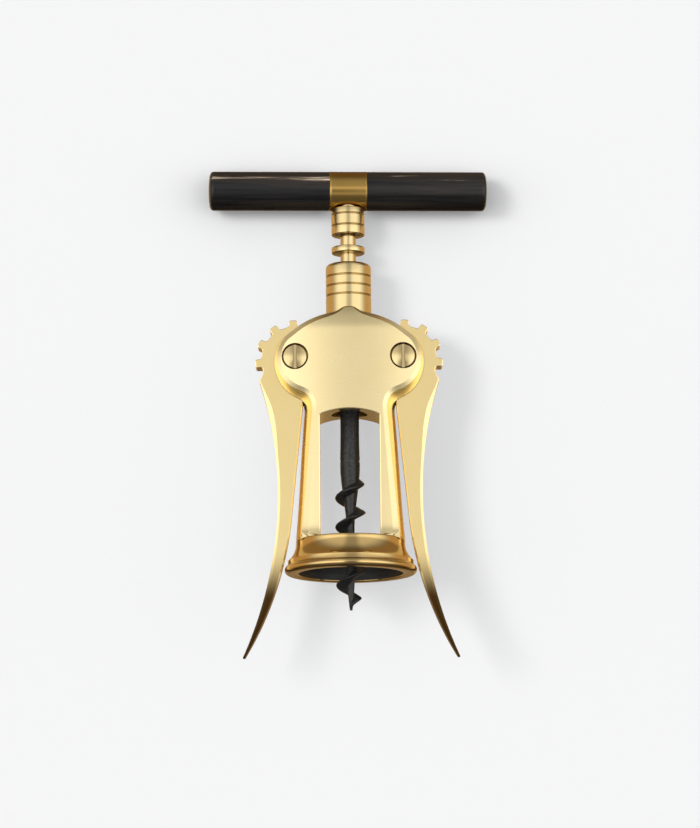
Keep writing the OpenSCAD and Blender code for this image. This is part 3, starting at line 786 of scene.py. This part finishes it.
# %% The handle
SLEEVE_R, SLEEVE_HALF, HORN_R = 7.15, 6.7, 7.0
lip = [(BORE_R, -SLEEVE_HALF), (SLEEVE_R - 0.3, -SLEEVE_HALF)]
lip += arc((SLEEVE_R - 0.25, -SLEEVE_HALF + 0.25), 0.25, 270, 360, 4)
lip += [(SLEEVE_R - 0.08, -SLEEVE_HALF + 0.5), (SLEEVE_R - 0.08, -SLEEVE_HALF + 0.7)]
sleeve = lip + [(r, -z) for r, z in lip[::-1]]
piece("handle_sleeve_turned", *turned(sleeve, closed=True, steps=160), BAR, "spindle", bar_brass,
      "turned_brass", ["handle_sleeve"])
edge = 1.3
for sign, word, finish in ((-1, "left", streaked_horn), (1, "right", plain_horn)):
    dome = [(x, BAR_END - 0.6 * (x / HORN_R) ** 2) for x in np.linspace(0, HORN_R - edge, 8)]
    bar = [(0, SLEEVE_HALF), (HORN_R, SLEEVE_HALF), (HORN_R, 20), (HORN_R, 35)]
    bar += [(HORN_R, BAR_END - edge - 0.6)]
    bar += arc((HORN_R - edge, BAR_END - edge - 0.55), edge, 0, 82, 9)[1:]
    points, faces = turned(bar + dome[::-1], steps=128)
    piece(f"horn_bar_{word}", [(x, y, sign * z) for x, y, z in points], faces, BAR, "spindle", finish,
          "horn", [f"horn_{word}"])

# %% [markdown]
# The small parts that are mostly hidden keep their CAD meshes. They still take a real
# finish, because they can be seen through the window and when the levers are open.

# %% Finishes for the carried-over parts
for name, finish in (("neck_bush", nylon), ("lever_washers_left", ground_steel),
                     ("lever_washers_right", ground_steel), ("thrust_washer_upper", ground_steel),
                     ("thrust_washer_lower", ground_steel), ("handle_tie_rod", ground_steel)):
    node = frame["nodes"][name]
    node.data.materials.clear()
    node.data.materials.append(finish)
    print(name, "takes", finish.name)

# %% [markdown]
# The floor is a plain pale sheet, a hair below the part. Brass would show it as a flat pale
# band, so the brass doesn't mirror it.

# %% The floor
FLOOR_HALF = 3
floor_mesh = bpy.data.meshes.new("floor")
floor_mesh.from_pydata([(x * FLOOR_HALF, y * FLOOR_HALF, 0) for x, y in ((-1, -1), (1, -1), (1, 1), (-1, 1))],
                       [], [(0, 1, 2, 3)])
floor = bpy.data.objects.new("floor", floor_mesh)
bpy.context.scene.collection.objects.link(floor)
floor.location.z = -0.2 * MM
# Matt paper: it scatters light evenly, with the faintest fleck
paper, tree = new_material("pale_paper_floor")
place = add(tree, "ShaderNodeTexCoord").outputs["Object"]
fleck = add(tree, "ShaderNodeTexNoise", {"Vector": place, "Scale": 1 / (1.11 * MM)})
tone = add(tree, "ShaderNodeMix", {0: fleck.outputs["Fac"], 6: colour("#E7E7E7"), 7: colour("#E9E9E9")},
           data_type="RGBA")
shader = add(tree, "ShaderNodeBsdfDiffuse", {"Color": tone.outputs[2]})
add(tree, "ShaderNodeOutputMaterial", {"Surface": shader.outputs["BSDF"]})
floor_mesh.materials.append(paper)
floor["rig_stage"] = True
floor.visible_glossy = False
print("the floor is", 2 * FLOOR_HALF, "m wide")

# %% [markdown]
# Brass shows what is around it, so the room matters more than the lamps. It is a white tent
# with a bright panel on each side. It is darker toward the horizon and past the bell's end,
# dimmer past the handle, and has a dim opening that the camera looks in through. Near the
# horizon its white turns warm.

# %% The room
BELOW = math.radians(10.5)
toward = (-back * math.cos(BELOW) - up * math.sin(BELOW)).normalized()
world = bpy.data.worlds.new("white_tent")
bpy.context.scene.world = world
world.use_nodes = True
tree = world.node_tree
tree.nodes.clear()
spread = add(tree, "ShaderNodeTexCoord").outputs["Generated"]
way = add(tree, "ShaderNodeSeparateXYZ", {"Vector": spread}).outputs
sideways = add(tree, "ShaderNodeMath", {0: way["X"]}, operation="ABSOLUTE").outputs["Value"]
facing = add(tree, "ShaderNodeVectorMath", {0: spread, 1: toward}, operation="DOT_PRODUCT").outputs["Value"]
rim, middle = math.cos(math.radians(16)), math.cos(math.radians(8))
# Each row is a value, its start and end, and the brightness at either
changes = [(way["Z"], 0.02, 0.66, 0.40, 1.0),        # darker toward the horizon
           (way["Y"], -0.55, -0.15, 0.16, 1.0),      # darker past the bell's end
           (way["Y"], 0.27, 0.44, 1.0, 0.50),        # dimmer past the handle
           (sideways, 0.09, 0.32, 0.94, 1.80),       # a bright panel on each side
           (facing, rim, middle, 1.0, 0.22)]         # the opening
light = 1.0
for value, start, end, first, last in changes:
    part = add(tree, "ShaderNodeMapRange", {
        "Value": value, "From Min": start, "From Max": end, "To Min": first, "To Max": last},
        interpolation_type="SMOOTHSTEP")
    light = add(tree, "ShaderNodeMath", {0: light, 1: part.outputs["Result"]},
                operation="MULTIPLY").outputs["Value"]
low_down = add(tree, "ShaderNodeMapRange", {"Value": way["Z"], "From Min": -0.10, "From Max": 0.22})
shade = add(tree, "ShaderNodeMix", {
    0: low_down.outputs["Result"], 6: colour("#FFD9A2"), 7: (0.985, 0.99, 1, 1)}, data_type="RGBA")
glow = add(tree, "ShaderNodeBackground", {"Color": shade.outputs[2], "Strength": light})
add(tree, "ShaderNodeOutputWorld", {"Surface": glow.outputs["Background"]})
print("the tent's opening faces", [round(v, 2) for v in toward])

# %% [markdown]
# A weak soft lamp overhead and a stronger one from the left give the shadows. Brass doesn't
# mirror either of them. Diffuse rays don't see the brass, so its warm bounce doesn't tint
# the paper, and only the lamps cast its shadow.

# %% The lamps
def lamp(name, strength, width, way):
    """A wide soft lamp far away. Brass doesn't mirror it, so that it leaves no hard spot."""
    data = bpy.data.lights.new(name, "SUN")
    data.energy, data.angle = strength, math.radians(width)
    made = bpy.data.objects.new(name, data)
    bpy.context.scene.collection.objects.link(made)
    made.rotation_mode = "QUATERNION"
    made.rotation_quaternion = Vector(way).to_track_quat("-Z", "Y")
    made.visible_glossy = False
    return made


lamps = [lamp("overhead_lamp", 0.12, 40, (0.10, -0.06, -0.99)),
         lamp("side_lamp", 0.95, 20, (0.62, -0.20, -0.76))]
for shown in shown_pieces():
    shown.visible_diffuse = shown.get("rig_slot") in ("horn", "blackened_steel")
bpy.context.scene.view_settings.view_transform = "Standard"
print("lamps:", [made.name for made in lamps])

# %% [markdown]
# The camera stands well back with a long lens, a little toward the bell's end, so that it
# looks slightly up into the bell. It aims at a point on the worm's axis, and leans about
# half a degree.

# %% Camera
LENS, DISTANCE, LEAN = 164.35, 1345 * MM, math.radians(0.48)
aim = UPRIGHT @ Vector((0.15 * MM, 0, 57.6 * MM))
camera_data = bpy.data.cameras.new("camera")
camera_data.sensor_fit = "AUTO"
camera_data.lens = LENS
camera = bpy.data.objects.new("camera", camera_data)
bpy.context.scene.collection.objects.link(camera)
camera.location = aim + toward * DISTANCE
level = up.cross(toward).normalized()
right = level * math.cos(LEAN) - toward.cross(level) * math.sin(LEAN)
camera.rotation_mode = "QUATERNION"
camera.rotation_quaternion = Matrix((right, toward.cross(right), toward)).transposed().to_quaternion()
bpy.context.scene.camera = camera
print("the camera stands", round(DISTANCE / MM), "mm away with a lens of", LENS, "mm")
